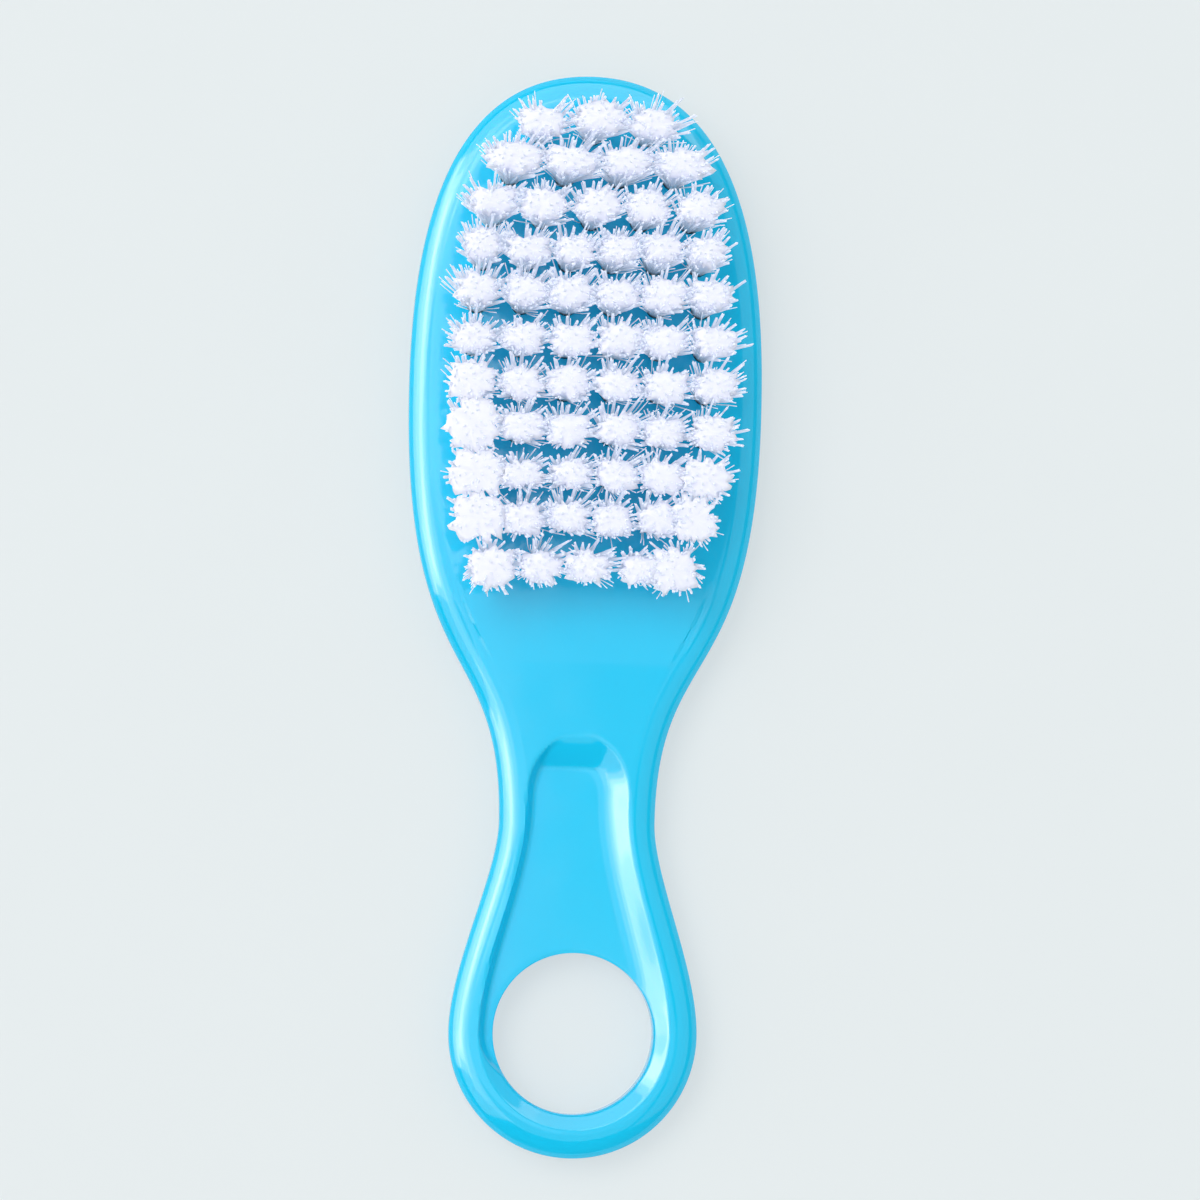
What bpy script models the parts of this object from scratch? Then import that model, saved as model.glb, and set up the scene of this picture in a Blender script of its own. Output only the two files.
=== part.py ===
"""A baby's grooming brush, lying on its back with its bristles up.

The body is one glossy moulding: a paddle-shaped head, a narrow neck with a thumb recess, and a
ring for a finger. Rows of soft white tufts stand in blind holes in the head's face, and each is
held at its foot by a flat anchor.

The brush's length lies along Y with the head's tip at +Y, and its back lies on Z = 0. Distances
called "from the tip" run down from the head's tip along the middle line.
"""

import math
import random

import bmesh
import bpy
from mathutils import Matrix, Vector
from mathutils.geometry import interpolate_bezier

# The body seen from above: the head down to its widest place, its flank down to the neck, the
# throat down to the ring's middle, and the ring
SHOULDER_LENGTH = 0.0450
FLANK_LENGTH = 0.0587
THROAT_LENGTH = 0.0291
RING_RADIUS = 0.0172
RING_HOLE_RADIUS = 0.0111
HEAD_HALF_WIDTH = 0.02455
NECK_HALF_WIDTH = 0.0108

# How far the outline runs on in one direction at each end of a stretch, as a share of the stretch
TIP_RUN_SHARE = 0.95
SHOULDER_RUN_SHARE = 0.32
HEAD_SIDE_RUN_SHARE = 0.70
NECK_UPPER_RUN_SHARE = 0.44
NECK_LOWER_RUN_SHARE = 0.25
RING_SIDE_RUN_SHARE = 0.315

# The body seen from the side
HEAD_THICKNESS = 0.0085
FACE_DIP = 0.0009
FACE_DIP_BELOW_ROWS = 0.0040
FACE_DIP_LENGTH = 0.0160
BACK_RISE = 0.0008
BACK_RISE_ABOVE_NECK = 0.0257
BACK_RISE_LENGTH = 0.0300

# Rounding of the body's edges
FACE_EDGE_RADIUS = 0.0030
HEAD_BACK_ROUNDING = 0.0090
RING_BACK_ROUNDING = 0.0030
RING_HOLE_FLARE = 0.0022

# The thumb recess, which runs down into the ring's hole
RECESS_TOP_ABOVE_NECK = 0.0121
RECESS_CROWN_LENGTH = 0.0079
RECESS_HALF_WIDTH = 0.0072
RECESS_DEPTH = 0.0026
RECESS_WALL_WIDTH = 0.0030
RECESS_RUNOUT = 0.0095
RECESS_TOP_RUN_SHARE = 0.85
RECESS_SHOULDER_RUN_SHARE = 0.60
RECESS_SIDE_RUN_SHARE = 0.35
RECESS_RING_RUN_SHARE = 0.30

# The tufts: rows from the head's tip down, with the outer tufts' reach from the middle line
ROW_TUFTS = (3, 4, 5, 6, 6, 6, 6, 6, 6, 6, 5)
ROW_REACH_SHARES = (0.30, 0.46, 0.56, 0.61, 0.635, 0.65, 0.66, 0.65, 0.63, 0.595, 0.54)
FIRST_ROW_FROM_TIP = 0.0085
ROW_PITCH = 0.00595
TUFT_HOLE_RADIUS = 0.0015
TUFT_HOLE_DEPTH = 0.0046
BRISTLE_LENGTH = 0.0115
TUFT_TIP_RADIUS = 0.0023
TUFT_LEAN = 0.0006
SEAT_CLEARANCE = 0.0003

# The strands of one tuft, each a lock of filaments
STRANDS_PER_TUFT = 6
STRAND_ROOT_RADIUS = 0.00030
STRAND_TIP_RADIUS = 0.00020
STRAND_RING_SHARE = 0.62
STRAND_BEND_HEIGHT_SHARE = 0.55
STRAND_BEND_SPREAD_SHARE = 0.36
STRAND_SPREAD_JITTER_SHARE = 0.10
STRAND_LENGTH_JITTER_SHARE = 0.04
STRAND_TURN_JITTER = math.radians(8)
STRAND_BITE = 0.0004

# The flat anchor across the foot of each tuft
ANCHOR_LENGTH = 0.0017
ANCHOR_THICKNESS = 0.00035
ANCHOR_HEIGHT = 0.0012
ANCHOR_BITE = 0.0004

# How finely round shapes are drawn
TIP_STEPS = 16
FLANK_STEPS = 20
THROAT_STEPS = 11
RING_STEPS = 14
RECESS_STEPS = 9
BACK_EDGE_STEPS = 6
FACE_EDGE_STEPS = 5
RECESS_WALL_SHARES = (-0.2, 0.3, 0.65, 1.0)
FLARE_STEPS = 2
FLARE_TURN = math.radians(60)
RING_HOLE_SIDES = 40
TUFT_HOLE_SIDES = 12
TUFT_ROOT_SIDES = 6
STRAND_SIDES = 3
OVERRUN = 0.0020
MERGE_DISTANCE = 0.00001
SHAKE_SEED = 7

PLASTIC_BLUE = (0.03, 0.60, 0.93, 1.0)
BRISTLE_WHITE = (0.90, 0.88, 0.94, 1.0)

NECK_FROM_TIP = SHOULDER_LENGTH + FLANK_LENGTH
RING_CENTRE_FROM_TIP = NECK_FROM_TIP + THROAT_LENGTH
BODY_LENGTH = RING_CENTRE_FROM_TIP + RING_RADIUS
RECESS_TOP_FROM_TIP = NECK_FROM_TIP - RECESS_TOP_ABOVE_NECK


def along(from_tip):
    """The Y of a place at this distance from the head's tip."""
    return BODY_LENGTH / 2 - from_tip


def eased(y, start_from_tip, length):
    """0 on the head's side of a stretch of the body, 1 past it, and a smooth change along it."""
    share = min(max((along(start_from_tip) - y) / length, 0), 1)
    return share * share * (3 - 2 * share)


def row_from_tip(row):
    """How far down from the head's tip a row of tufts stands."""
    return FIRST_ROW_FROM_TIP + ROW_PITCH * row


def face_height(y):
    """The height of the bristle side, which dips from the head to the handle."""
    dip_from_tip = row_from_tip(len(ROW_TUFTS) - 1) + FACE_DIP_BELOW_ROWS
    return HEAD_THICKNESS - FACE_DIP * eased(y, dip_from_tip, FACE_DIP_LENGTH)


def back_height(y):
    """The height of the back, which rises from the head to the handle."""
    return BACK_RISE * eased(y, NECK_FROM_TIP - BACK_RISE_ABOVE_NECK, BACK_RISE_LENGTH)


def back_rounding(y):
    """How far in from the outline the back's soft edge reaches."""
    change = eased(y, SHOULDER_LENGTH, FLANK_LENGTH + THROAT_LENGTH)
    return HEAD_BACK_ROUNDING + (RING_BACK_ROUNDING - HEAD_BACK_ROUNDING) * change


def stretch(start, start_run, end_run, end, steps):
    """Points of a smooth stretch of outline, up to but without its end."""
    knots = [Vector(point).to_3d() for point in (start, end)]
    runs = [Vector(run).to_3d() for run in (start_run, end_run)]
    return interpolate_bezier(knots[0], knots[0] + runs[0], knots[1] + runs[1], knots[1], steps + 1)[:-1]


def arc(centre_y, reach, drop, steps):
    """A quarter turn from the side, reach out from the middle, down to the middle line."""
    turns = [math.pi / 2 * step / steps for step in range(steps)]
    points = [Vector((reach * math.cos(turn), centre_y - drop * math.sin(turn), 0)) for turn in turns]
    return points + [Vector((0, centre_y - drop, 0))]


def body_half_outline():
    """The body's right half from the head's tip round to the ring's end."""
    tip = (0, along(0))
    side = (HEAD_HALF_WIDTH, along(SHOULDER_LENGTH))
    neck = (NECK_HALF_WIDTH, along(NECK_FROM_TIP))
    ring = (RING_RADIUS, along(RING_CENTRE_FROM_TIP))
    tip_run = (TIP_RUN_SHARE * HEAD_HALF_WIDTH, 0)
    shoulder_run = (0, SHOULDER_RUN_SHARE * SHOULDER_LENGTH)
    points = stretch(tip, tip_run, shoulder_run, side, TIP_STEPS)
    side_run = (0, -HEAD_SIDE_RUN_SHARE * FLANK_LENGTH)
    points += stretch(side, side_run, (0, NECK_UPPER_RUN_SHARE * FLANK_LENGTH), neck, FLANK_STEPS)
    neck_run = (0, -NECK_LOWER_RUN_SHARE * THROAT_LENGTH)
    points += stretch(neck, neck_run, (0, RING_SIDE_RUN_SHARE * THROAT_LENGTH), ring, THROAT_STEPS)
    return points + arc(ring[1], RING_RADIUS, RING_RADIUS, RING_STEPS)


def recess_half_outline():
    """The thumb recess's right half, from its round top to its end within the ring's hole."""
    top = (0, along(RECESS_TOP_FROM_TIP))
    shoulder = (RECESS_HALF_WIDTH, along(RECESS_TOP_FROM_TIP + RECESS_CROWN_LENGTH))
    ring = (RING_HOLE_RADIUS + RING_HOLE_FLARE, along(RING_CENTRE_FROM_TIP))
    side = shoulder[1] - ring[1]
    top_run = (RECESS_TOP_RUN_SHARE * RECESS_HALF_WIDTH, 0)
    shoulder_run = (0, RECESS_SHOULDER_RUN_SHARE * RECESS_CROWN_LENGTH)
    points = stretch(top, top_run, shoulder_run, shoulder, RECESS_STEPS)
    side_run = (0, -RECESS_SIDE_RUN_SHARE * side)
    points += stretch(shoulder, side_run, (0, RECESS_RING_RUN_SHARE * side), ring, RECESS_STEPS)
    return points + arc(ring[1], ring[0], RECESS_RUNOUT, RECESS_STEPS)


def inward(half):
    """The unit vector into the outline at each point of a half outline."""
    before = [Vector((-half[1].x, half[1].y, 0))] + half[:-1]
    after = half[1:] + [Vector((-half[-2].x, half[-2].y, 0))]
    ways = [(b - a).normalized() for a, b in zip(before, after)]
    return [Vector((way.y, -way.x, 0)) for way in ways]


def stacked_solid(half, levels):
    """A mesh whose walls climb through levels of a half outline and its mirror image.

    A level gives, for each point of the half outline, how far it is drawn in and its height.
    Both ends are closed by strips that cross the middle line from side to side.
    """
    bm = bmesh.new()
    sides = []
    for level in levels:
        right = []
        for point, way, (inset, height) in zip(half, inward(half), level):
            place = point + way * inset
            right.append(bm.verts.new((place.x, place.y, height)))
        inner = [bm.verts.new((-vert.co.x, vert.co.y, vert.co.z)) for vert in right[1:-1]]
        sides.append((right, [right[0]] + inner + [right[-1]]))
    for lower, upper in zip(sides, sides[1:]):
        for low, high in zip(lower, upper):
            for i in range(len(half) - 1):
                bm.faces.new((low[i], low[i + 1], high[i + 1], high[i]))
    for right, left in (sides[0], sides[-1]):
        for i in range(len(half) - 1):
            rung = (right[i], right[i + 1], left[i + 1], left[i])
            bm.faces.new(list(dict.fromkeys(rung)))
    bmesh.ops.recalc_face_normals(bm, faces=bm.faces)
    return finished_mesh(bm)


def finished_mesh(bm):
    """The bmesh as a new mesh, with the bmesh freed."""
    mesh = bpy.data.meshes.new("shape")
    bm.to_mesh(mesh)
    bm.free()
    return mesh


def plastic(name, colour, roughness):
    """A plain material of one colour."""
    material = bpy.data.materials.new(name)
    material.use_nodes = True
    shader = material.node_tree.nodes["Principled BSDF"]
    shader.inputs["Base Color"].default_value = colour
    shader.inputs["Roughness"].default_value = roughness
    shader.inputs["Metallic"].default_value = 0
    return material


def added(name, mesh, collection, material=None):
    """A new object of this mesh in the collection."""
    mesh.name = name
    thing = bpy.data.objects.new(name, mesh)
    collection.objects.link(thing)
    if material:
        mesh.materials.append(material)
    return thing


def cutter(name, mesh, collection):
    """An object that only shapes others."""
    thing = added(name, mesh, collection)
    thing.hide_render = True
    thing.display_type = "WIRE"
    return thing


def combined(thing, tool, operation):
    """Adds a Boolean with the tool to the object."""
    change = thing.modifiers.new(tool.name, "BOOLEAN")
    change.operation = operation
    change.solver = "EXACT"
    change.object = tool


def body_levels(half):
    """From the back's flat to the face's flat, round the soft edges of both."""
    levels = []
    for step in range(BACK_EDGE_STEPS):
        turn = math.pi / 2 * step / BACK_EDGE_STEPS
        level = []
        for point in half:
            back = back_height(point.y)
            rise = face_height(point.y) - FACE_EDGE_RADIUS - back
            inset = back_rounding(point.y) * (1 - math.sin(turn))
            level.append((inset, back + rise * (1 - math.cos(turn))))
        levels.append(level)
    for step in range(FACE_EDGE_STEPS + 1):
        turn = math.pi / 2 * step / FACE_EDGE_STEPS
        inset = FACE_EDGE_RADIUS * (1 - math.cos(turn))
        drop = FACE_EDGE_RADIUS * (1 - math.sin(turn))
        levels.append([(inset, face_height(point.y) - drop) for point in half])
    return levels


def recess_mesh():
    """What the thumb recess takes away: soft walls down to a flat floor."""
    half = recess_half_outline()
    face = face_height(along(RECESS_TOP_FROM_TIP))
    heights = [(RECESS_WALL_SHARES[0], face + OVERRUN)]
    for share in RECESS_WALL_SHARES:
        drop = RECESS_DEPTH * share * abs(share) * (3 - 2 * abs(share))
        heights.append((share, face - drop))
    levels = [[(RECESS_WALL_WIDTH * share, height)] * len(half) for share, height in reversed(heights)]
    return stacked_solid(half, levels)


def ring_hole_profile():
    """Points of the hole's side from over the face to below the back, as (radius, height)."""
    centre = along(RING_CENTRE_FROM_TIP)
    face, back = face_height(centre), back_height(centre)
    flare = []
    for step in range(FLARE_STEPS + 1):
        turn = FLARE_TURN * step / FLARE_STEPS
        radius = RING_HOLE_RADIUS + RING_HOLE_FLARE * (1 - math.cos(turn))
        flare.append((radius, RING_HOLE_FLARE * (1 - math.sin(turn))))
    last_radius, last_drop = flare[-1]
    outside = last_radius + (last_drop + OVERRUN) / math.tan(FLARE_TURN)
    upper = [(outside, face + OVERRUN)] + [(radius, face - drop) for radius, drop in reversed(flare)]
    lower = [(radius, back + drop) for radius, drop in flare] + [(outside, back - OVERRUN)]
    return [(0, face + OVERRUN)] + upper + lower + [(0, back - OVERRUN)]


def ring_hole_cutter(collection):
    """The finger hole with its flared mouths, turned about the ring's axis."""
    bm = bmesh.new()
    verts = [bm.verts.new((radius, 0, height)) for radius, height in ring_hole_profile()]
    for upper, lower in zip(verts, verts[1:]):
        bm.edges.new((upper, lower))
    thing = cutter("ring_hole_cutter", finished_mesh(bm), collection)
    thing.location.y = along(RING_CENTRE_FROM_TIP)
    turned = thing.modifiers.new("turned", "SCREW")
    turned.steps = turned.render_steps = RING_HOLE_SIDES
    turned.use_merge_vertices = True
    turned.merge_threshold = MERGE_DISTANCE
    return thing


def tuft_places():
    """The name and the foot of each tuft, row by row."""
    places = []
    for row, (count, reach_share) in enumerate(zip(ROW_TUFTS, ROW_REACH_SHARES)):
        reach = HEAD_HALF_WIDTH * reach_share
        for column in range(count):
            across = reach * (2 * column / (count - 1) - 1)
            name = f"tuft_{row + 1:02d}_{column + 1}"
            places.append((name, Vector((across, along(row_from_tip(row)), 0))))
    return places


def root_radius():
    """The radius of a tuft's packed root, clear of its hole."""
    return TUFT_HOLE_RADIUS - SEAT_CLEARANCE


def prism(bm, place, radius, sides, low, high, turn=0):
    """Adds an upright prism between two heights."""
    made = bmesh.ops.create_cone(
        bm, cap_ends=True, segments=sides, radius1=radius, radius2=radius, depth=high - low
    )
    spin = Vector((0, 0, 1))
    bmesh.ops.rotate(bm, verts=made["verts"], matrix=Matrix.Rotation(turn, 3, spin))
    bmesh.ops.translate(bm, verts=made["verts"], vec=place + spin * (low + high) / 2)


def tuft_holes_mesh(places):
    """All the blind holes of the tufts, as separate prisms."""
    bm = bmesh.new()
    for _, place in places:
        prism(
            bm,
            place,
            TUFT_HOLE_RADIUS,
            TUFT_HOLE_SIDES,
            HEAD_THICKNESS - TUFT_HOLE_DEPTH,
            HEAD_THICKNESS + OVERRUN,
        )
    return finished_mesh(bm)


def strand(bm, rings):
    """Adds one strand through rings of (centre, radius, turn), closed at both ends."""
    loops = []
    for centre, radius, turn in rings:
        loop = []
        for side in range(STRAND_SIDES):
            angle = turn + math.tau * side / STRAND_SIDES
            place = centre + Vector((radius * math.cos(angle), radius * math.sin(angle), 0))
            loop.append(bm.verts.new(place))
        loops.append(loop)
    for low, high in zip(loops, loops[1:]):
        for side in range(STRAND_SIDES):
            after = (side + 1) % STRAND_SIDES
            bm.faces.new((low[side], low[after], high[after], high[side]))
    bm.faces.new(loops[0][::-1])
    bm.faces.new(loops[-1])


def strands(bm, lean, shake):
    """Adds the strands of one tuft, splayed out evenly and a little unlike each other."""
    up = Vector((0, 0, 1))
    for number in range(STRANDS_PER_TUFT):
        turn = math.tau * number / STRANDS_PER_TUFT
        tip_turn = turn + shake.uniform(-1, 1) * STRAND_TURN_JITTER
        out = Vector((math.cos(turn), math.sin(turn), 0))
        tip_out = Vector((math.cos(tip_turn), math.sin(tip_turn), 0))
        root_reach = root_radius() * STRAND_RING_SHARE
        tip_reach = TUFT_TIP_RADIUS * (1 + shake.uniform(-1, 1) * STRAND_SPREAD_JITTER_SHARE)
        bend_reach = root_reach + (tip_reach - root_reach) * STRAND_BEND_SPREAD_SHARE
        length = BRISTLE_LENGTH * (1 - shake.random() * STRAND_LENGTH_JITTER_SHARE)
        bend_radius = (STRAND_ROOT_RADIUS + STRAND_TIP_RADIUS) / 2
        root = out * root_reach - up * STRAND_BITE
        bend = out * bend_reach + lean * STRAND_BEND_SPREAD_SHARE + up * length * STRAND_BEND_HEIGHT_SHARE
        tip = tip_out * tip_reach + lean + up * length
        rings = ((root, STRAND_ROOT_RADIUS, turn), (bend, bend_radius, turn), (tip, STRAND_TIP_RADIUS, turn))
        strand(bm, rings)


def anchor(bm):
    """Adds the flat strip across the foot of a tuft."""
    made = bmesh.ops.create_cube(bm, size=1)
    bmesh.ops.scale(bm, verts=made["verts"], vec=(ANCHOR_LENGTH, ANCHOR_THICKNESS, ANCHOR_HEIGHT))
    foot = SEAT_CLEARANCE - TUFT_HOLE_DEPTH
    bmesh.ops.translate(bm, verts=made["verts"], vec=(0, 0, foot + ANCHOR_HEIGHT / 2))


def tuft(name, place, shake, collection, cutters, material):
    """One tuft: its packed root, its strands and its anchor, fused."""
    bm = bmesh.new()
    foot = SEAT_CLEARANCE - TUFT_HOLE_DEPTH + ANCHOR_HEIGHT - ANCHOR_BITE
    half_side = math.pi / TUFT_ROOT_SIDES
    prism(bm, Vector((0, 0, 0)), root_radius(), TUFT_ROOT_SIDES, foot, 0, half_side)
    thing = added(name, finished_mesh(bm), collection, material)
    middle = Vector((0, along(row_from_tip((len(ROW_TUFTS) - 1) / 2)), 0))
    lean = (place - middle) / HEAD_HALF_WIDTH * TUFT_LEAN
    bm = bmesh.new()
    strands(bm, lean, shake)
    anchor(bm)
    inserts = cutter(f"{name}_inserts", finished_mesh(bm), cutters)
    combined(thing, inserts, "UNION")
    for piece in (thing, inserts):
        piece.location = place + Vector((0, 0, HEAD_THICKNESS))


def brush():
    """Builds the whole brush."""
    for thing in list(bpy.data.objects):
        bpy.data.objects.remove(thing)
    parts = bpy.data.collections.new("grooming_brush")
    cutters = bpy.data.collections.new("cutters")
    for collection in (parts, cutters):
        bpy.context.scene.collection.children.link(collection)
    blue = plastic("blue_plastic", PLASTIC_BLUE, 0.12)
    white = plastic("white_bristle", BRISTLE_WHITE, 0.55)
    places = tuft_places()
    half = body_half_outline()
    body = added("brush_body", stacked_solid(half, body_levels(half)), parts, blue)
    combined(body, cutter("recess_cutter", recess_mesh(), cutters), "DIFFERENCE")
    combined(body, ring_hole_cutter(cutters), "DIFFERENCE")
    combined(body, cutter("tuft_hole_cutter", tuft_holes_mesh(places), cutters), "DIFFERENCE")
    body.data.shade_smooth()
    body.data.set_sharp_from_angle(angle=math.radians(35))
    shake = random.Random(SHAKE_SEED)
    for name, place in places:
        tuft(name, place, shake, parts, cutters, white)


brush()
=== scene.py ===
"""Looks of a baby's grooming brush: a glossy blue moulding set with rows of soft white bristles.

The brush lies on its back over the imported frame, in metres: X across, Y along with the head's tip
at +Y, and Z up from the back towards the bristle tips. Distances called "from the tip" run down
from the head's tip along the middle line.
"""

import math

import bmesh
import bpy
import numpy as np
from mathutils import Matrix, Vector
from mathutils.geometry import interpolate_bezier


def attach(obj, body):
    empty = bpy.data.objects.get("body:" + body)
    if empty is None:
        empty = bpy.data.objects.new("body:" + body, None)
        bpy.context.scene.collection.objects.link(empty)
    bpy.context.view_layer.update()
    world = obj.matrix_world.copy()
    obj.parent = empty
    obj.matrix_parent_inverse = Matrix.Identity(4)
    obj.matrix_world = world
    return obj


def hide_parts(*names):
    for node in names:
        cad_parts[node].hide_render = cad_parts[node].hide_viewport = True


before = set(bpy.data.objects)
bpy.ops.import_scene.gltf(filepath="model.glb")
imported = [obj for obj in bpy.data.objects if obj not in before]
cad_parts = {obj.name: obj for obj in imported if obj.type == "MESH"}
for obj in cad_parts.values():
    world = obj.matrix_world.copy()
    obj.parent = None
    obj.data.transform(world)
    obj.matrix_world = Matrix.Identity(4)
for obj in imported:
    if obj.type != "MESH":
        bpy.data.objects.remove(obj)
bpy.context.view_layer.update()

# The moulding's plan
SHOULDER_LENGTH = 0.0450
FLANK_LENGTH = 0.0587
THROAT_LENGTH = 0.0291
RING_RADIUS = 0.0172
RING_HOLE_RADIUS = 0.0111
HEAD_HALF_WIDTH = 0.02455
NECK_HALF_WIDTH = 0.0108
NECK_FROM_TIP = SHOULDER_LENGTH + FLANK_LENGTH
RING_CENTRE_FROM_TIP = NECK_FROM_TIP + THROAT_LENGTH
BODY_LENGTH = RING_CENTRE_FROM_TIP + RING_RADIUS
TIP_RUN_SHARE = 0.95
SHOULDER_RUN_SHARE = 0.32
HEAD_SIDE_RUN_SHARE = 0.70
NECK_UPPER_RUN_SHARE = 0.44
NECK_LOWER_RUN_SHARE = 0.25
RING_SIDE_RUN_SHARE = 0.315

# The moulding's thickness and edges
HEAD_THICKNESS = 0.0085
FACE_DIP = 0.0009
FACE_DIP_FROM_TIP = 0.0710
FACE_DIP_LENGTH = 0.0120
BACK_RISE = 0.0008
BACK_RISE_FROM_TIP = 0.0780
BACK_RISE_LENGTH = 0.0300
FACE_EDGE_WIDTH = 0.0038
FACE_EDGE_TURN = math.radians(55)
FACE_CORNER_RADIUS = 0.0005
SIDE_FROM_FACE = 0.0030
HEAD_BACK_ROUNDING = 0.0090
RING_BACK_ROUNDING = 0.0030
RING_HOLE_FLARE = 0.0022
RING_HOLE_LIP = 0.00045
PARTING_LINE_PROUD = 0.00003
PARTING_LINE_HALF_HEIGHT = 0.00010
SHARP_EDGE_ANGLE = math.radians(38)

# The moulding's grid: steps along the outline's four stretches, and where on the middle line the
# columns end that start at these distances from the tip. The last ones end round the ring's hole.
OUTLINE_STEPS = (70, 150, 70, 90)
HOLE_COLUMNS_FROM_TIP = 0.111
COLUMN_STARTS = (0, SHOULDER_LENGTH, 0.088, HOLE_COLUMNS_FROM_TIP)
COLUMN_ENDS = (0.022, SHOULDER_LENGTH, 0.090, RING_CENTRE_FROM_TIP - RING_HOLE_RADIUS)
FACE_ROWS = 42
FACE_EDGE_ROWS = 12
FACE_CORNER_ROWS = 4
BACK_EDGE_ROWS = 15
BACK_ROWS = 12
HOLE_WALL_ROWS = 7

# The thumb recess: a shallow scoop with a crisp lip
RECESS_TOP_FROM_TIP = 0.0916
RECESS_CROWN_LENGTH = 0.0086
RECESS_HALF_WIDTH = 0.0072
RECESS_DEPTH = 0.0022
RECESS_CROWN_RAMP = 0.0046
RECESS_LEFT_WALL = 0.0011
RECESS_RIGHT_WALL = 0.0040
RECESS_WALLS_BLEND = 0.0040
RECESS_LEFT_STEEPNESS = 2.0
RECESS_RIGHT_STEEPNESS = 1.35
RECESS_LIP = 0.00025
RECESS_RUNOUT = 0.0095
RECESS_CROWN_RUN_SHARE = 0.56
RECESS_SIDE_RUN_SHARE = 0.35
RECESS_END_RUN_SHARE = 0.30
RECESS_STEPS = (24, 40, 24)

# The tufts
ROW_TUFTS = (3, 4, 5, 6, 6, 6, 6, 6, 6, 6, 5)
ROW_REACH_SHARES = (0.30, 0.46, 0.56, 0.61, 0.635, 0.65, 0.66, 0.65, 0.63, 0.595, 0.54)
FIRST_ROW_FROM_TIP = 0.0085
ROW_PITCH = 0.00595
TUFT_HOLE_RADIUS = 0.0015
TUFT_HOLE_DEPTH = 0.0046
HOLE_OVERRUN = 0.002
HOLE_SIDES = 20
TUFT_ROOT_RADIUS = 0.00140
BRISTLE_LENGTH = 0.0115
ROW_SPREADS = (1.14, 1.16, 1.06, 0.95, 0.97, 0.99, 1.0, 0.99, 0.97, 0.94, 1.00)

# How far the tufts' tips stand off from their feet, along the brush and across it. Rows are counted
# from 0, and the low corners' leans start at the first corner row.
ROW_LEANS = (0.0003, 0.0012, 0.0010, 0.0009, 0.0008, 0.0004, 0.0002, 0.0, -0.0003, -0.0004, -0.0013)
TOP_MIDDLE_LEAN = 0.0009
FAN_OUT = 0.0006
FIRST_CORNER_ROW = 8
CORNER_SIDE_SHARE = 0.5
LEFT_CORNER_LEANS = (0, -0.0002, 0.0003)
RIGHT_CORNER_LEANS = (0, 0.0011, 0.0022)

# Where the tufts are matted: below these rows at the left and right, towards the field's sides
LEFT_MATTING_ROW = 5.0
RIGHT_MATTING_ROW = 6.5
MATTING_ROWS = 2.0
MATTING_SIDE_SHARE = 0.38
MATTING_SIDE_RUN = 0.12
LAST_ROW_MATTING = 0.55
MATTED_WIDENING = 0.18
LOW_RIGHT_WIDENING = 0.04
MATTED_LENGTHENING = 0.56

# The tufts' make-up
TUFT_SEED = 11
SQUARENESS = 2.7
SPLAY_POWER = 1.6
LEAN_POWER = 1.3
CORE_SHARES = (0.83, 0.77)
GOLDEN_ANGLE = 2.39996
FILAMENT_POINTS = 5
FILAMENT_TIP_SHARE = 0.65
BRISTLE_SIZES = {
    "Wisps": 64,
    "Filaments In Wisp": 11,
    "Filament Radius": 0.000078,
    "Root Radius": TUFT_ROOT_RADIUS,
    "Spread Across": 0.0036,
    "Spread Along": 0.0026,
    "Wisp Width": 0.00034,
    "Wisp Closing": 0.85,
    "Flick": 0.0010,
    "Fray": 0.60,
    "Stray Share": 0.10,
    "Length": BRISTLE_LENGTH,
    "Root Depth": 0.0012,
    "Waviness": 0.00008,
    "Core Height": 0.945,
}

# The floor
FLOOR_REACH = 1.5
FLOOR_GAP = 0.0001

# Lamps that only gloss shows: azimuth, elevation, width and height in degrees, glow and distance.
# Those that overlap stand at different distances, because in one place they hide one another.
GLEAM_COLOUR = (1.0, 0.84, 0.66)
GLEAMS = (
    ("window_gleam", 172, 32, 36, 10, 4.6, 2.0),
    ("window_gleam", 172, 32, 46, 22, 4.6, 2.1),
    ("window_gleam", 172, 32, 58, 36, 3.0, 2.2),
    ("low_gleam", 172, 11, 58, 20, 5.0, 2.3),
    ("high_gleam", 172, 55, 70, 20, 1.8, 2.4),
    ("shoulder_gleam", 104, 40, 100, 60, 2.6, 2.5),
    ("throat_gleam", 207, 38, 46, 50, 1.9, 2.6),
    ("right_side_gleam", 8, 38, 92, 44, 0.8, 2.7),
    ("handle_gleam", 270, 64, 50, 24, 0.9, 2.2),
)

# Level panels that only gloss shows: their sides as shares of their height, the height and the glow
TOP_PANELS = (
    ("head_gleam", (-0.50, 0.070), (0.045, 0.55), 1.0, 2.9),
    ("neck_gleam", (-0.50, 0.070), (-0.30, 0.045), 1.02, 1.75),
    ("right_gleam", (0.070, 0.40), (-0.30, 0.045), 1.04, 0.65),
    ("ring_gleam", (0.070, 0.60), (-0.30, -0.045), 1.06, 0.4),
)

# The camera: its lens in millimetres, and how far it looks from straight above
LENS_LENGTH = 162.5
CAMERA_DISTANCE = 0.752
CAMERA_AIM = (0.0027, 0.00226, 0.004)
CAMERA_LEFTWARD_TILT = math.radians(5)
CAMERA_HANDLEWARD_TILT = math.radians(3)
CAMERA_ROLL = math.radians(1.12)


def along(from_tip):
    """The Y of a place at this distance from the head's tip."""
    return BODY_LENGTH / 2 - from_tip


def eased(share):
    """A smooth rise from 0 to 1 as share does."""
    share = np.clip(share, 0, 1)
    return share * share * (3 - 2 * share)


# Numbers and nodes in node trees


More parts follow.
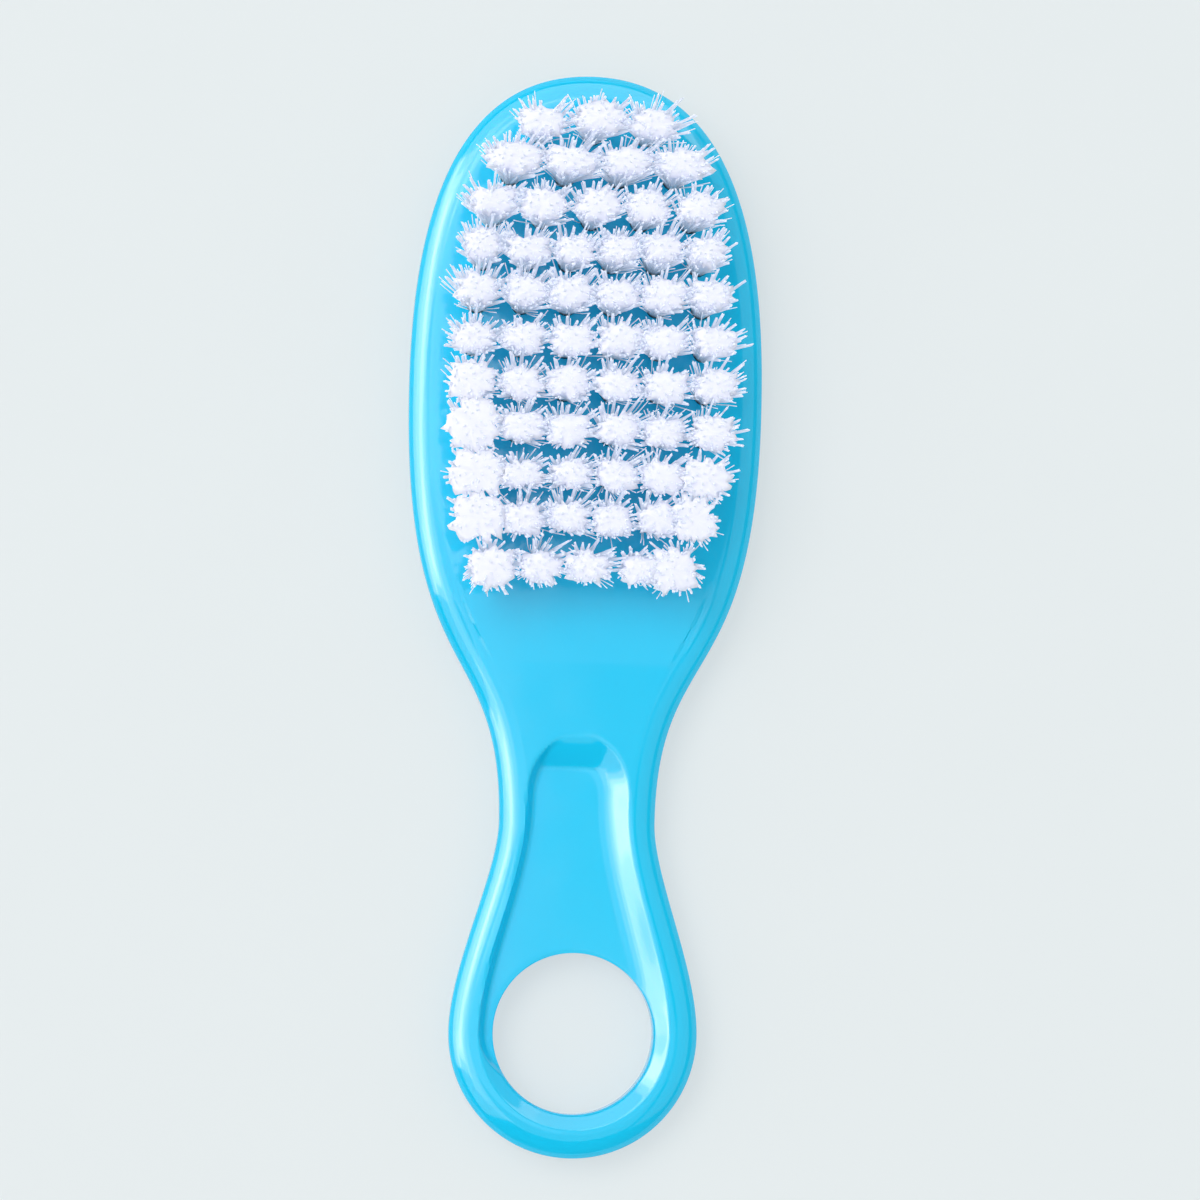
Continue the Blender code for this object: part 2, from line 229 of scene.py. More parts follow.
class Number:
    """A number in a node tree. Python's arithmetic on it adds Math nodes."""

    def __init__(self, maker, socket):
        self.maker = maker
        self.socket = socket

    def maths(self, operation, *values):
        node = self.maker.add("ShaderNodeMath", {"operation": operation}, dict(enumerate(values)))
        return Number(self.maker, node.outputs[0])

    def __add__(self, other):
        return self.maths("ADD", self, other)

    def __radd__(self, other):
        return self.maths("ADD", other, self)

    def __sub__(self, other):
        return self.maths("SUBTRACT", self, other)

    def __rsub__(self, other):
        return self.maths("SUBTRACT", other, self)

    def __mul__(self, other):
        return self.maths("MULTIPLY", self, other)

    def __rmul__(self, other):
        return self.maths("MULTIPLY", other, self)

    def __truediv__(self, other):
        return self.maths("DIVIDE", self, other)

    def __rtruediv__(self, other):
        return self.maths("DIVIDE", other, self)

    def __pow__(self, other):
        return self.maths("POWER", self, other)

    def __gt__(self, other):
        return self.maths("GREATER_THAN", self, other)

    def power(self, exponent):
        """An even power, which takes numbers below zero too."""
        return self.maths("POWER", self * self, exponent / 2)

    def floor(self):
        return self.maths("FLOOR", self)

    def cos(self):
        return self.maths("COSINE", self)

    def sin(self):
        return self.maths("SINE", self)


class Maker:
    """Adds nodes to a tree."""

    def __init__(self, tree):
        self.tree = tree
        tree.nodes.clear()

    def add(self, kind, settings=None, inputs=None):
        """A node of this type: its settings come first, then its sockets' values or links."""
        node = self.tree.nodes.new(kind)
        for name, value in (settings or {}).items():
            setattr(node, name, value)
        for key, value in (inputs or {}).items():
            socket = self.socket(node.inputs, key)
            if isinstance(value, Number):
                value = value.socket
            if isinstance(value, bpy.types.NodeSocket):
                self.tree.links.new(value, socket)
            else:
                socket.default_value = value
        return node

    def out(self, kind, settings=None, inputs=None, output=0):
        """The output socket of a new node."""
        return self.socket(self.add(kind, settings, inputs).outputs, output)

    def number(self, kind, settings=None, inputs=None, output=0):
        """The output of a new node as a number."""
        return Number(self, self.out(kind, settings, inputs, output))

    def socket(self, sockets, key):
        """The socket with this place among those in use, or with this name."""
        used = [socket for socket in sockets if socket.enabled]
        if isinstance(key, int):
            return used[key]
        return next(socket for socket in used if socket.name == key)


# Materials


def new_material(name):
    """A material with a cleared tree, and a maker for it."""
    material = bpy.data.materials.new(name)
    material.use_nodes = True
    return material, Maker(material.node_tree)


def finished(maker, shader):
    """Leads the shader to the material's output."""
    maker.add("ShaderNodeOutputMaterial", None, {"Surface": shader})


def noise(maker, scale, detail=2.0, stretch=(1, 1, 1)):
    """Smooth noise over the piece, about 0 to 1."""
    place = maker.out("ShaderNodeTexCoord", None, None, "Object")
    place = maker.out("ShaderNodeMapping", None, {"Vector": place, "Scale": stretch})
    inputs = {"Vector": place, "Scale": scale, "Detail": detail}
    return maker.number("ShaderNodeTexNoise", None, inputs, "Fac")


def mixed(maker, factor, first, second):
    """A colour between two others."""
    settings = {"data_type": "RGBA"}
    inputs = {"Factor": factor, "A": first, "B": second}
    return maker.out("ShaderNodeMix", settings, inputs, "Result")


def glossy_blue():
    """The moulding's glossy blue plastic, with faint flow marks and sink ripples."""
    material, maker = new_material("glossy_blue_plastic")
    flow = noise(maker, 60, 3.0, (1.0, 0.35, 1.0))
    haze = noise(maker, 420, 3.0)
    ripple = noise(maker, 90, 1.0)
    colour = mixed(maker, flow, (0.002, 0.540, 0.860, 1), (0.005, 0.600, 0.900, 1))
    bump = maker.out("ShaderNodeBump", None, {"Strength": 0.25, "Distance": 0.0002, "Height": ripple})
    inputs = {"Base Color": colour, "Roughness": 0.06 + 0.06 * haze, "Normal": bump, "IOR": 1.5}
    finished(maker, maker.out("ShaderNodeBsdfPrincipled", None, inputs))
    return material


def soft_white():
    """White filament: darker and bluer towards its foot, as painted shade and painted blue bounce
    light, and each filament slightly its own tone. It glows faintly blue, as painted light.
    """
    material, maker = new_material("soft_white_filament")
    height = maker.number("ShaderNodeAttribute", {"attribute_name": "along"}, None, "Fac")
    shade = maker.number("ShaderNodeAttribute", {"attribute_name": "shade"}, None, "Fac")
    # The 'glow' attribute sets how strongly a bristle glows: painted light that lifts the shade among
    # the bristles.
    glow = maker.number("ShaderNodeAttribute", {"attribute_name": "glow"}, None, "Fac")
    # The foot colours are painted shade and painted blue bounce light from the moulding below; the
    # tip colours are the bristles' own white.
    foot = mixed(maker, shade, (0.68, 0.81, 0.92, 1), (0.76, 0.86, 0.94, 1))
    tip = mixed(maker, shade, (0.80, 0.79, 0.89, 1), (0.88, 0.86, 0.93, 1))
    colour = mixed(maker, height ** 0.6, foot, tip)
    inputs = {
        "Base Color": colour,
        # Painted light: a faint blue glow, strongest where 'glow' times the height is high, stands in
        # for light scattered through the bristles and bounced from the moulding.
        "Emission Color": mixed(maker, glow * height, (0, 0, 0, 1), (0.66, 0.79, 0.96, 1)),
        "Emission Strength": 0.23,
        "Roughness": 0.45 + 0.2 * shade,
        "IOR": 1.4,
        "Subsurface Weight": 0.7,
        "Subsurface Radius": (1.0, 1.0, 1.0),
        "Subsurface Scale": 0.0005,
    }
    finished(maker, maker.out("ShaderNodeBsdfPrincipled", None, inputs))
    return material


def pale_floor():
    """The plain pale surface under the brush: it glows where it is seen, so its shadow is soft."""
    material, maker = new_material("pale_floor")
    grain = noise(maker, 30, 2.0)
    colour = mixed(maker, grain, (0.775, 0.818, 0.828, 1), (0.787, 0.830, 0.840, 1))
    plain = maker.out("ShaderNodeBsdfPrincipled", None, {"Base Color": colour, "Roughness": 0.9})
    glow = maker.out("ShaderNodeEmission", None, {"Color": colour, "Strength": 1.0})
    both = maker.out("ShaderNodeMixShader", None, {0: 0.7 * seen_ray(maker), 1: plain, 2: glow})
    finished(maker, both)
    return material


def seen_ray(maker):
    """1 where a ray comes from the camera, gloss or glass, and 0 elsewhere."""
    seen = ray_kind(maker, "Is Camera Ray")
    for kind in ("Is Glossy Ray", "Is Transmission Ray"):
        seen = seen.maths("MAXIMUM", seen, ray_kind(maker, kind))
    return seen


def ray_kind(maker, kind):
    """1 where a ray is of this kind, and 0 elsewhere."""
    return maker.number("ShaderNodeLightPath", None, None, kind)


# The moulding


def stretch(start, start_run, end_run, end, steps):
    """Points of a smooth stretch of outline, up to but without its end."""
    knots = [Vector((*point, 0)) for point in (start, end)]
    runs = [Vector((*run, 0)) for run in (start_run, end_run)]
    points = interpolate_bezier(knots[0], knots[0] + runs[0], knots[1] + runs[1], knots[1], steps + 1)
    return [point[:2] for point in points[:-1]]


def arc(centre_y, reach, drop, steps):
    """A quarter turn from the side down to the middle line."""
    turns = np.linspace(0, math.pi / 2, steps + 1)
    points = np.stack([reach * np.cos(turns), centre_y - drop * np.sin(turns)], axis=1)
    points[-1, 0] = 0
    return points.tolist()


def body_half_outline():
    """The moulding's right half from the head's tip round to the ring's end."""
    tip, side = (0, along(0)), (HEAD_HALF_WIDTH, along(SHOULDER_LENGTH))
    neck = (NECK_HALF_WIDTH, along(NECK_FROM_TIP))
    ring = (RING_RADIUS, along(RING_CENTRE_FROM_TIP))
    tip_run = (TIP_RUN_SHARE * HEAD_HALF_WIDTH, 0)
    shoulder_run = (0, SHOULDER_RUN_SHARE * SHOULDER_LENGTH)
    side_run = (0, -HEAD_SIDE_RUN_SHARE * FLANK_LENGTH)
    upper_run = (0, NECK_UPPER_RUN_SHARE * FLANK_LENGTH)
    lower_run = (0, -NECK_LOWER_RUN_SHARE * THROAT_LENGTH)
    ring_run = (0, RING_SIDE_RUN_SHARE * THROAT_LENGTH)
    points = stretch(tip, tip_run, shoulder_run, side, OUTLINE_STEPS[0])
    points += stretch(side, side_run, upper_run, neck, OUTLINE_STEPS[1])
    points += stretch(neck, lower_run, ring_run, ring, OUTLINE_STEPS[2])
    return np.array(points + arc(ring[1], RING_RADIUS, RING_RADIUS, OUTLINE_STEPS[3]))


def recess_half_outline():
    """The thumb recess's right half, from its round top to its end within the ring's hole."""
    top = (0, along(RECESS_TOP_FROM_TIP))
    shoulder = (RECESS_HALF_WIDTH, along(RECESS_TOP_FROM_TIP + RECESS_CROWN_LENGTH))
    ring = (RING_HOLE_RADIUS + RING_HOLE_FLARE, along(RING_CENTRE_FROM_TIP))
    side = shoulder[1] - ring[1]
    top_run = (RECESS_CROWN_RUN_SHARE * RECESS_HALF_WIDTH, 0)
    shoulder_run = (0, RECESS_CROWN_RUN_SHARE * RECESS_CROWN_LENGTH)
    side_run, end_run = (0, -RECESS_SIDE_RUN_SHARE * side), (0, RECESS_END_RUN_SHARE * side)
    points = stretch(top, top_run, shoulder_run, shoulder, RECESS_STEPS[0])
    points += stretch(shoulder, side_run, end_run, ring, RECESS_STEPS[1])
    return np.array(points + arc(ring[1], ring[0], RECESS_RUNOUT, RECESS_STEPS[2]))


def face_height(y):
    """The height of the bristle side before the recess and the ring's scoop."""
    return HEAD_THICKNESS - FACE_DIP * eased((along(FACE_DIP_FROM_TIP) - y) / FACE_DIP_LENGTH)


def back_height(y):
    """The height of the back before the ring's flare."""
    return BACK_RISE * eased((along(BACK_RISE_FROM_TIP) - y) / BACK_RISE_LENGTH)


def back_rounding(y):
    """How far in from the outline the back's soft edge reaches."""
    change = eased((along(SHOULDER_LENGTH) - y) / (FLANK_LENGTH + THROAT_LENGTH))
    return HEAD_BACK_ROUNDING + (RING_BACK_ROUNDING - HEAD_BACK_ROUNDING) * change


def hollow(share):
    """How far a quarter round has dropped at this share of the way to its edge."""
    return 1 - np.sqrt(1 - np.clip(share, 0, 1) ** 2)


def ring_flare(x, y):
    """How far the back's round edge at the ring's hole lies above the back's level."""
    out = np.hypot(x, y - along(RING_CENTRE_FROM_TIP)) - RING_HOLE_RADIUS
    return RING_HOLE_FLARE * hollow(1 - out / RING_HOLE_FLARE)


def inside_distance(x, y, half):
    """How far each place lies inside an outline, given by its right half."""
    starts, ends = half[:-1], half[1:]
    runs = ends - starts
    places = np.stack([np.abs(x), y], axis=1)
    offset = places[:, None, :] - starts[None]
    share = np.clip((offset * runs).sum(2) / (runs * runs).sum(1), 0, 1)
    gap = offset - share[..., None] * runs[None]
    lengths = np.hypot(gap[..., 0], gap[..., 1])
    nearest = lengths.argmin(1)
    rows = np.arange(len(places))
    side = runs[nearest, 0] * gap[rows, nearest, 1] - runs[nearest, 1] * gap[rows, nearest, 0]
    return lengths[rows, nearest] * np.where(side < 0, 1, -1)


def scooped(inside, width, steepness):
    """The share of a scoop's depth at this distance from its lip: steepest at the lip."""
    share = np.clip((np.hypot(np.maximum(inside, 0), RECESS_LIP) - RECESS_LIP) / width, 0, 1)
    return 1 - (1 - share) ** steepness


def softly_least(first, second):
    """The lesser of two depths, rounded where they meet."""
    lower, upper = np.minimum(first, second), np.maximum(first, second)
    rounding = (1 + (lower / np.maximum(upper, 1e-6)) ** 8) ** 0.125
    return np.where(upper > 0, lower / rounding, 0)


def recess_drop(x, y):
    """The depth of the thumb recess: a steep left wall, a sloping right one, a ramp at its crown."""
    inside = inside_distance(x, y, recess_half_outline())
    right = eased(x / RECESS_WALLS_BLEND + 0.5)
    width = RECESS_LEFT_WALL + (RECESS_RIGHT_WALL - RECESS_LEFT_WALL) * right
    steepness = RECESS_LEFT_STEEPNESS + (RECESS_RIGHT_STEEPNESS - RECESS_LEFT_STEEPNESS) * right
    ramp = np.clip((along(RECESS_TOP_FROM_TIP) - y) / RECESS_CROWN_RAMP, 0, 1) ** 1.5
    return RECESS_DEPTH * softly_least(scooped(inside, width, steepness), ramp)


def ring_drop(x, y):
    """The scoop round the ring's hole, with a small round edge at the hole itself."""
    out = np.hypot(x, y - along(RING_CENTRE_FROM_TIP)) - RING_HOLE_RADIUS
    scoop = RECESS_DEPTH * scooped(RING_HOLE_FLARE - out, RECESS_RIGHT_WALL, RECESS_RIGHT_STEEPNESS)
    return scoop + RING_HOLE_LIP * hollow(1 - out / RING_HOLE_LIP)


def face_drop(places):
    """How far the recess and the ring's scoop take the face down: the deeper one, blended."""
    ring, recess = ring_drop(*places.T), recess_drop(*places.T)
    return (ring**6 + recess**6) ** (1 / 6)


def face_edge():
    """Places across the face's soft edge: how far in from the outline, and how far below the face."""
    turned = math.sin(FACE_EDGE_TURN)
    soft = (FACE_EDGE_WIDTH - FACE_CORNER_RADIUS * (1 - turned)) / turned
    places = []
    for turn in np.linspace(0, FACE_EDGE_TURN, FACE_EDGE_ROWS):
        places.append((FACE_EDGE_WIDTH - soft * math.sin(turn), soft * (1 - math.cos(turn))))
    corner_drop = places[-1][1] - FACE_CORNER_RADIUS * (1 - math.cos(FACE_EDGE_TURN))
    for turn in np.linspace(FACE_EDGE_TURN, math.pi / 2, FACE_CORNER_ROWS + 1)[1:]:
        inset = FACE_CORNER_RADIUS * (1 - math.sin(turn))
        places.append((inset, corner_drop + FACE_CORNER_RADIUS * (1 - math.cos(turn))))
    return places + [(0, SIDE_FROM_FACE)]


def moulding_mesh():
    """The moulding without its tuft holes, as a fine grid from its outline to its middle line.

    Columns run round the right half of the outline. Each starts on the front's middle line or the
    hole's rim, crosses the face, turns over the edge and comes back along the underside.
    """
    half = body_half_outline()
    columns = len(half)
    before = np.vstack([[-half[1, 0], half[1, 1]], half[:-1]])
    after = np.vstack([half[1:], [-half[-2, 0], half[-2, 1]]])
    way = (after - before) / np.linalg.norm(after - before, axis=1)[:, None]
    inward = np.stack([way[:, 1], -way[:, 0]], axis=1)
    half = half + inward * PARTING_LINE_PROUD
    from_tip = along(0) - half[:, 1]
    middle = np.interp(from_tip, COLUMN_STARTS, COLUMN_ENDS)
    inner = np.stack([np.zeros(columns), along(middle)], axis=1)
    on_hole = from_tip > HOLE_COLUMNS_FROM_TIP
    hole_columns = (np.argmax(on_hole), columns - 1)
    turn = np.interp(np.arange(columns), hole_columns, (math.pi / 2, -math.pi / 2))
    centre_y = along(RING_CENTRE_FROM_TIP)
    rim_x, rim_y = RING_HOLE_RADIUS * np.cos(turn), centre_y + RING_HOLE_RADIUS * np.sin(turn)
    inner[on_hole] = np.stack([rim_x, rim_y], axis=1)[on_hole]
    inner[[0, -1], 0] = 0
    grids = [moulding_rows(half, inward, inner, side) for side in (1, -1)]
    return grid_mesh("glossy_moulding", grids, on_hole)


def moulding_rows(half, inward, inner, side):
    """The grid of one half, laid out as the right one. Its side is 1 at the right, -1 at the left."""
    rows = []
    edge_start = half + inward * FACE_EDGE_WIDTH
    for share in 1 - np.linspace(0, 1, FACE_ROWS + 1)[:-1] ** 0.8:
        place = edge_start + (inner - edge_start) * share
        height = face_height(place[:, 1]) - face_drop(place * (side, 1))
        rows.append(np.column_stack([place, height]))
    for inset, drop in face_edge():
        place = half + inward * inset
        height = face_height(half[:, 1]) - drop - face_drop(place * (side, 1))
        rows.append(np.column_stack([place, height]))
    rows[-1][:, 2] += PARTING_LINE_HALF_HEIGHT
    proud = half - inward * PARTING_LINE_PROUD
    rows.append(np.column_stack([proud, rows[-1][:, 2] - PARTING_LINE_HALF_HEIGHT]))
    side_height = rows[-1][:, 2]
    back = back_height(half[:, 1])
    for angle in np.linspace(0, math.pi / 2, BACK_EDGE_ROWS):
        inset = back_rounding(half[:, 1]) * (1 - math.cos(angle))
        place = half + inward * inset[:, None]
        rise = (side_height - PARTING_LINE_HALF_HEIGHT - back) * (1 - math.sin(angle))
        rows.append(np.column_stack([place, back + rise]))
    back_start = rows[-1][:, :2]
    for share in np.linspace(0, 1, BACK_ROWS + 1)[1:]:
        place = back_start + (inner - back_start) * (1 - (1 - share) ** 1.5)
        height = back_height(place[:, 1]) + ring_flare(*place.T)
        rows.append(np.column_stack([place, height]))
    return rows


def grid_mesh(name, grids, on_hole):
    """The two halves' grids of rows and columns as one closed mesh, joined through the hole too."""
    bm = bmesh.new()
    for sign, grid in zip((1, -1), grids):
        columns = len(grid[0])
        front, back = grid[0], grid[-1]
        shares = np.linspace(1, 0, HOLE_WALL_ROWS + 2)[1:-1]
        wall = [front + (back - front) * share for share in shares]
        verts = [[bm.verts.new((sign * x, y, z)) for x, y, z in row] for row in grid]
        inner = [[bm.verts.new((sign * x, y, z)) for x, y, z in row] for row in wall]
        loops = [(low, high, range(columns - 1)) for low, high in zip(verts, verts[1:])]
        holes = [i for i in range(columns - 1) if on_hole[i] or on_hole[i + 1]]
        rim = [verts[-1]] + inner + [verts[0]]
        loops += [(low, high, holes) for low, high in zip(rim, rim[1:])]
        for low, high, places in loops:
            for i in places:
                corners = [low[i], low[i + 1], high[i + 1], high[i]]
                bm.faces.new(corners if sign > 0 else corners[::-1])
        unused = [vert for row in inner for vert in row if not vert.link_faces]
        bmesh.ops.delete(bm, geom=unused, context="VERTS")
    bmesh.ops.remove_doubles(bm, verts=bm.verts, dist=1e-6)
    bmesh.ops.dissolve_degenerate(bm, edges=bm.edges, dist=1e-7)
    bmesh.ops.recalc_face_normals(bm, faces=bm.faces)
    mesh = bpy.data.meshes.new(name)
    bm.to_mesh(mesh)
    bm.free()
    return mesh


# The tufts


def tuft_feet():
    """Rows of the tufts' feet on the face."""
    rows = []
    for row, (count, reach_share) in enumerate(zip(ROW_TUFTS, ROW_REACH_SHARES)):
        reach = HEAD_HALF_WIDTH * reach_share
        y = along(FIRST_ROW_FROM_TIP + ROW_PITCH * row)
        across = [reach * (2 * place / (count - 1) - 1) for place in range(count)]
        rows.append([Vector((x, y, HEAD_THICKNESS)) for x in across])
    return rows


def added(name, mesh, material):
    """A new object of this mesh in the scene."""
    thing = bpy.data.objects.new(name, mesh)
    bpy.context.scene.collection.objects.link(thing)
    if material:
        mesh.materials.clear()
        mesh.materials.append(material)
    return thing


def new_tree(name, inputs):
    """A geometry tree with a geometry input and output and named inputs."""
    tree = bpy.data.node_groups.new(name, "GeometryNodeTree")
    tree.interface.new_socket("Geometry", in_out="INPUT", socket_type="NodeSocketGeometry")
    tree.interface.new_socket("Geometry", in_out="OUTPUT", socket_type="NodeSocketGeometry")
    for label, kind in inputs.items():
        tree.interface.new_socket(label, in_out="INPUT", socket_type="NodeSocket" + kind)
    return tree


def grown(thing, tree, values):
    """Runs the tree on the object with these values, and keeps the result as its plain mesh."""
    change = thing.modifiers.new(tree.name, "NODES")
    change.node_group = tree
    for item in tree.interface.items_tree:
        if item.name in values:
            change[item.identifier] = values[item.name]
    whole = thing.evaluated_get(bpy.context.evaluated_depsgraph_get())
    mesh = bpy.data.meshes.new_from_object(whole)
    thing.modifiers.remove(change)
    thing.data = mesh
    mesh.name = thing.name


class TuftMaker(Maker):
    """Adds nodes to the tree that grows the tufts, with its inputs as numbers."""

    def __init__(self, tree, labels):
        super().__init__(tree)
        given = self.add("NodeGroupInput")
        self.vertices = given.outputs["Geometry"]
        self.value = {label: Number(self, given.outputs[label]) for label in labels}

    def stored(self, geometry, name, data, kind="FLOAT"):
        """The geometry with this attribute on its points."""
        settings = {"data_type": kind, "domain": "POINT"}
        inputs = {"Geometry": geometry, "Name": name, "Value": data}
        return self.out("GeometryNodeStoreNamedAttribute", settings, inputs)

    def read(self, name, kind="FLOAT"):
        """An attribute of the points, as a number."""
        settings, inputs = {"data_type": kind}, {"Name": name}
        return self.number("GeometryNodeInputNamedAttribute", settings, inputs, "Attribute")

    def read_vector(self, name):
        """The X, Y and Z of a vector attribute of the points, as numbers."""
        node = self.add("ShaderNodeSeparateXYZ", None, {0: self.read(name, "FLOAT_VECTOR")})
        return [Number(self, socket) for socket in node.outputs]

    def chance(self, low, high, seed, key):
        """A random number from low to high, always the same for the same seed and key."""
        inputs = {"Min": low, "Max": high, "ID": key, "Seed": self.value["Seed"] * 100 + seed}
        return self.number("FunctionNodeRandomValue", {"data_type": "FLOAT"}, inputs, "Value")

    def vector(self, x, y, z):
        return self.out("ShaderNodeCombineXYZ", None, {"X": x, "Y": y, "Z": z})

    def placed(self, geometry, x, y, z):
        """The geometry with each of its points moved here."""
        inputs = {"Geometry": geometry, "Position": self.vector(x, y, z)}
        return self.out("GeometryNodeSetPosition", None, inputs)

    def one_each(self, points, thing):
        """A copy of the thing at each point."""
        copies = self.out("GeometryNodeInstanceOnPoints", None, {"Points": points, "Instance": thing})
        return self.out("GeometryNodeRealizeInstances", None, {"Geometry": copies})

    def lumps(self, x, y, scale, detail):
        """Smooth noise round 0, different for each tuft."""
        spot = self.vector(x, y, self.read("tuft") * 7.3 + self.value["Seed"] * 1.9)
        inputs = {"Vector": spot, "Scale": scale, "Detail": detail}
        return (self.number("ShaderNodeTexNoise", None, inputs, "Fac") - 0.5) * 2.2


def squared(x, y):
    """How far out a square with round corners lies, in the direction of this unit vector."""
    return 1 / (x.power(SQUARENESS) + y.power(SQUARENESS)) ** (1 / SQUARENESS)


def upright_lines(maker, feet):
    """Lines with a few points each, one for each filament, numbered within its tuft."""
    count = maker.value["Wisps"] * maker.value["Filaments In Wisp"]
    inputs = {"Geometry": feet, "Amount": count}
    copies = maker.add("GeometryNodeDuplicateElements", {"domain": "POINT"}, inputs)
    number = copies.outputs["Duplicate Index"]
    roots = maker.stored(copies.outputs["Geometry"], "filament", number)
    inputs = {"Start": (0, 0, 0), "End": (0, 0, 1)}
    line = maker.out("GeometryNodeCurvePrimitiveLine", None, inputs, "Curve")
    inputs = {"Curve": line, "Count": FILAMENT_POINTS}
    return maker.one_each(roots, maker.out("GeometryNodeResampleCurve", None, inputs))


def filaments(maker, feet):
    """Wisps of fine filaments: a tuft's wisps stand in a spiral, from its middle out to its side."""
    value, chance = maker.value, maker.chance
    lines = upright_lines(maker, feet)
    tuft, filament = maker.read("tuft"), maker.read("filament")
    foot, lean, size = (maker.read_vector(name) for name in ("foot", "lean", "size"))
    height = maker.number("GeometryNodeSplineParameter", None, None, "Factor")

    # Keys for the random numbers: each filament of a row has its own, and so has each wisp
    key = tuft * 1000 + filament
    wisp = (filament / value["Filaments In Wisp"]).floor()
    wisp_key = tuft * 100 + wisp
    turn = wisp * GOLDEN_ANGLE + chance(-0.35, 0.35, 1, wisp_key) + chance(0, math.tau, 2, tuft)
    reach = ((wisp + 0.5) / value["Wisps"]) ** 0.42

    # Outer wisps fray and flick, and most towards the head's tip
    upward = 0.7 + 0.45 * turn.sin() + 0.15 * turn.cos()
    fray = 0.2 * chance(0, 1, 19, key).power(2) + 0.8 * chance(0, 1, 20, wisp_key).power(2)
    fray = fray * reach**3 * upward * size[2]
    tip_reach = reach * chance(0.90, 1.06, 3, wisp_key) + fray * value["Fray"]
    flick = height**4 * reach**4 * chance(0, 1, 17, wisp_key) * value["Flick"] * size[2]

    # A wisp's filaments draw together at its tip, apart from those that stray
    stray = value["Stray Share"] * size[2] > chance(0, 1, 4, key)
    loose = 1 + stray * chance(1.2, 3.2, 5, key)
    closing = (1 - value["Wisp Closing"] * (1 - stray)) * height**3 + (1 - height**3)
    square = squared(turn.cos(), turn.sin())
    rise = height**SPLAY_POWER
    sides = []
    for axis, own, spread in ((0, turn.cos(), "Spread Across"), (1, turn.sin(), "Spread Along")):
        root = own * reach * value["Root Radius"] * 0.85 + chance(-0.15, 0.15, 6 + axis, key) * 0.001
        tip = own * square * tip_reach * value[spread] * size[axis]
        beside = chance(-1, 1, 8 + axis, key) * value["Wisp Width"] * loose * closing * height**0.5
        wave = (height * chance(4, 9, 10 + axis, key) + chance(0, math.tau, 12 + axis, key)).sin()
        wave = wave * value["Waviness"] * height
        drift = lean[axis] * height**LEAN_POWER + (own * 0.5 + (0.30, 0.75)[axis]) * flick
        sides.append(foot[axis] + root + (tip - root) * rise + drift + beside + wave)
    trim = chance(0.94, 1.0, 14, wisp_key) * chance(0.975, 0.998, 15, key)
    trim = trim - stray * chance(0.0, 0.10, 18, key)
    up = foot[2] + (value["Length"] + value["Root Depth"]) * trim * height - value["Root Depth"]

    lines = maker.placed(lines, *sides, up)
    lines = maker.stored(lines, "along", height)
    lines = maker.stored(lines, "shade", chance(0, 1, 16, key))
    # Every filament gets the full painted glow: painted light that lifts its shade.
    lines = maker.stored(lines, "glow", 1.0)
    inputs = {"Curve": lines, "Radius": 1.0 - (1 - FILAMENT_TIP_SHARE) * height}
    lines = maker.out("GeometryNodeSetCurveRadius", None, inputs)
    inputs = {"Resolution": 3, "Radius": value["Filament Radius"]}
    ring = maker.out("GeometryNodeCurvePrimitiveCircle", None, inputs, "Curve")
    inputs = {"Curve": lines, "Profile Curve": ring, "Fill Caps": True}
    return maker.out("GeometryNodeCurveToMesh", None, inputs)


def packed_cores(maker, feet):
    """A solid, lumpy core in each tuft, which widens upwards and stands for its inner filaments."""
    value = maker.value
    inputs = {"Vertices": 40, "Side Segments": 6, "Fill Segments": 5, "Radius": 1.0, "Depth": 1.0}
    barrel = maker.out("GeometryNodeMeshCylinder", None, inputs, "Mesh")
    place = maker.out("GeometryNodeInputPosition")
    barrel = maker.stored(barrel, "shape", place, "FLOAT_VECTOR")
    cores = maker.one_each(feet, barrel)
    foot, lean, size, shape = (maker.read_vector(name) for name in ("foot", "lean", "size", "shape"))
    matted = maker.read("matted")
    level = shape[2] + 0.5
    out = (shape[0] * shape[0] + shape[1] * shape[1]) ** 0.5
    edge = out.maths("MAXIMUM", out, 0.01)
    across, up_along = shape[0] / edge, shape[1] / edge
    widen = level**SPLAY_POWER
    square = 1 + (squared(across, up_along) - 1) * widen

    # Its side is grooved, its upper edge toothed, and its top lumpy
    groove = maker.lumps(across, up_along, 3.6, 1.0)
    teeth = maker.lumps(across, up_along, 9.0, 0.0)
    bump = maker.lumps(shape[0], shape[1], 5.5, 2.0)
    ragged = 1 + groove * out * out * (0.06 + 0.30 * level**3)
    ragged = ragged + teeth * out.power(4) * 0.34 * level**4
    root = value["Root Radius"] * 0.9
    sides = []
    for axis, spread in enumerate(("Spread Across", "Spread Along")):
        width = root + (value[spread] * size[axis] * CORE_SHARES[axis] - root) * widen
        drift = lean[axis] * level**LEAN_POWER
        sides.append(foot[axis] + shape[axis] * square * width * ragged + drift)
    dome = (1.0 - out.power(4) * (0.07 - 0.05 * matted)) * (value["Core Height"] + 0.016 * bump)
    up = foot[2] - value["Root Depth"] + (value["Length"] + value["Root Depth"]) * level * dome

    cores = maker.placed(cores, *sides, up)
    cores = maker.stored(cores, "along", level)
    # Painted shade: the core's tone follows the noise of its grooves and lumps, darker in the grooves
    # and hollows and lighter where it juts out.
    cores = maker.stored(cores, "shade", 0.5 + 0.6 * (groove + bump))
    # Painted light: with the height, this makes the core glow most part way up its side and not at
    # its foot, to lift the shade on its flank.
    cores = maker.stored(cores, "glow", 1.9 - 1.6 * level)
    inputs = {"Geometry": cores, "Shade Smooth": True}
    return maker.out("GeometryNodeSetShadeSmooth", None, inputs)


